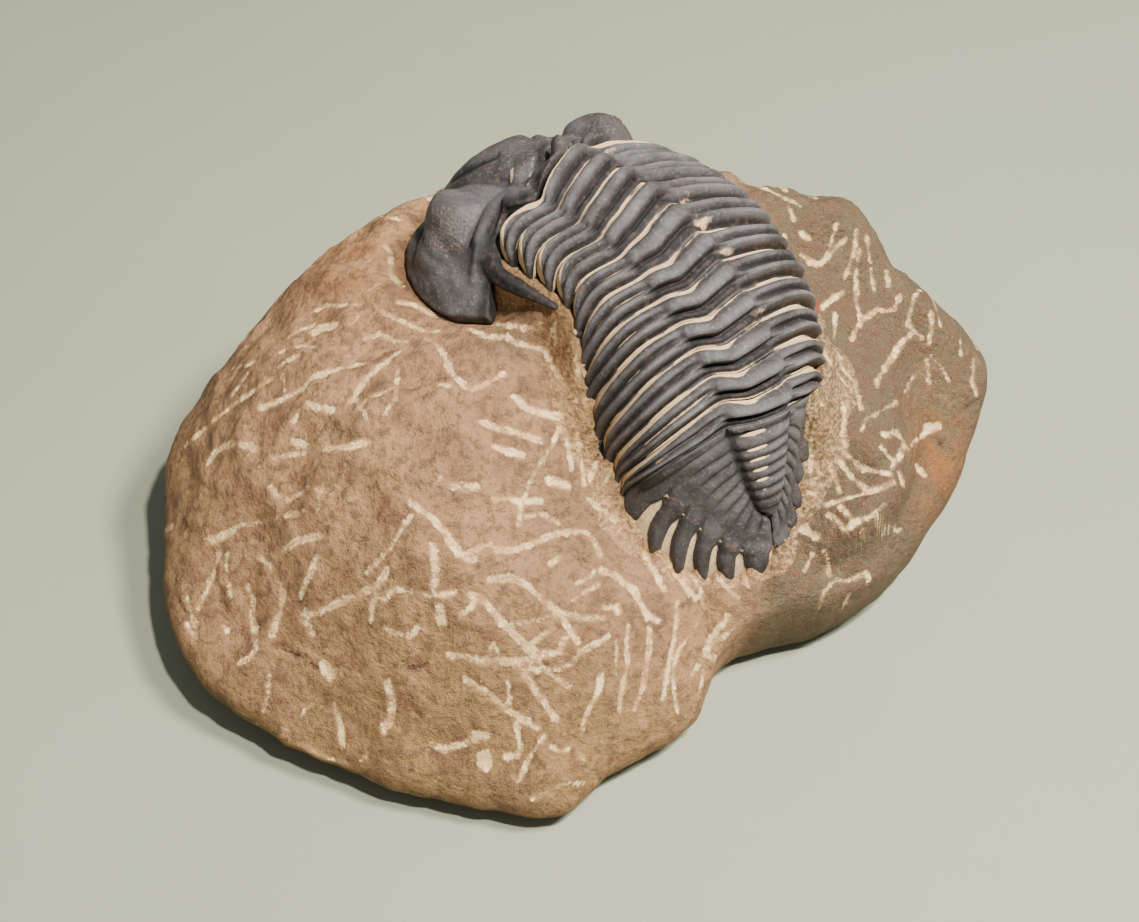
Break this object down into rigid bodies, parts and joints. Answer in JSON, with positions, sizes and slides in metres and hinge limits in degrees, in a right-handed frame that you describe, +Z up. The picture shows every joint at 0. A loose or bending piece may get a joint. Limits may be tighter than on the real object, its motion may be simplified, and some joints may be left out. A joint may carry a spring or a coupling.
{
  "type": "trilobite fossil",
  "caption": "Trilobite arched over a rounded limestone cobble: head shield with two kidney-shaped eyes, ribbed thorax and spiny tail shield.",
  "frame": {"origin": "a point on the flat resting face, under the middle of the cobble", "axes": "+X along the cobble's long side towards the trilobite's tail side, +Y to its back, where the head is, +Z up"},
  "size_m": [0.1017, 0.0818, 0.0509],
  "materials": {
    "limestone": "matte",
    "calcite_shell": "satin"
  },
  "bodies": {
    "root": {"matrix": "limestone", "cephalon": "calcite_shell", "thorax_segment_01": "calcite_shell", "thorax_segment_02": "calcite_shell", "thorax_segment_03": "calcite_shell", "thorax_segment_04": "calcite_shell", "thorax_segment_05": "calcite_shell", "thorax_segment_06": "calcite_shell", "thorax_segment_07": "calcite_shell", "thorax_segment_08": "calcite_shell", "thorax_segment_09": "calcite_shell", "thorax_segment_10": "calcite_shell", "thorax_segment_11": "calcite_shell", "pygidium": "calcite_shell"}
  },
  "joints": []
}
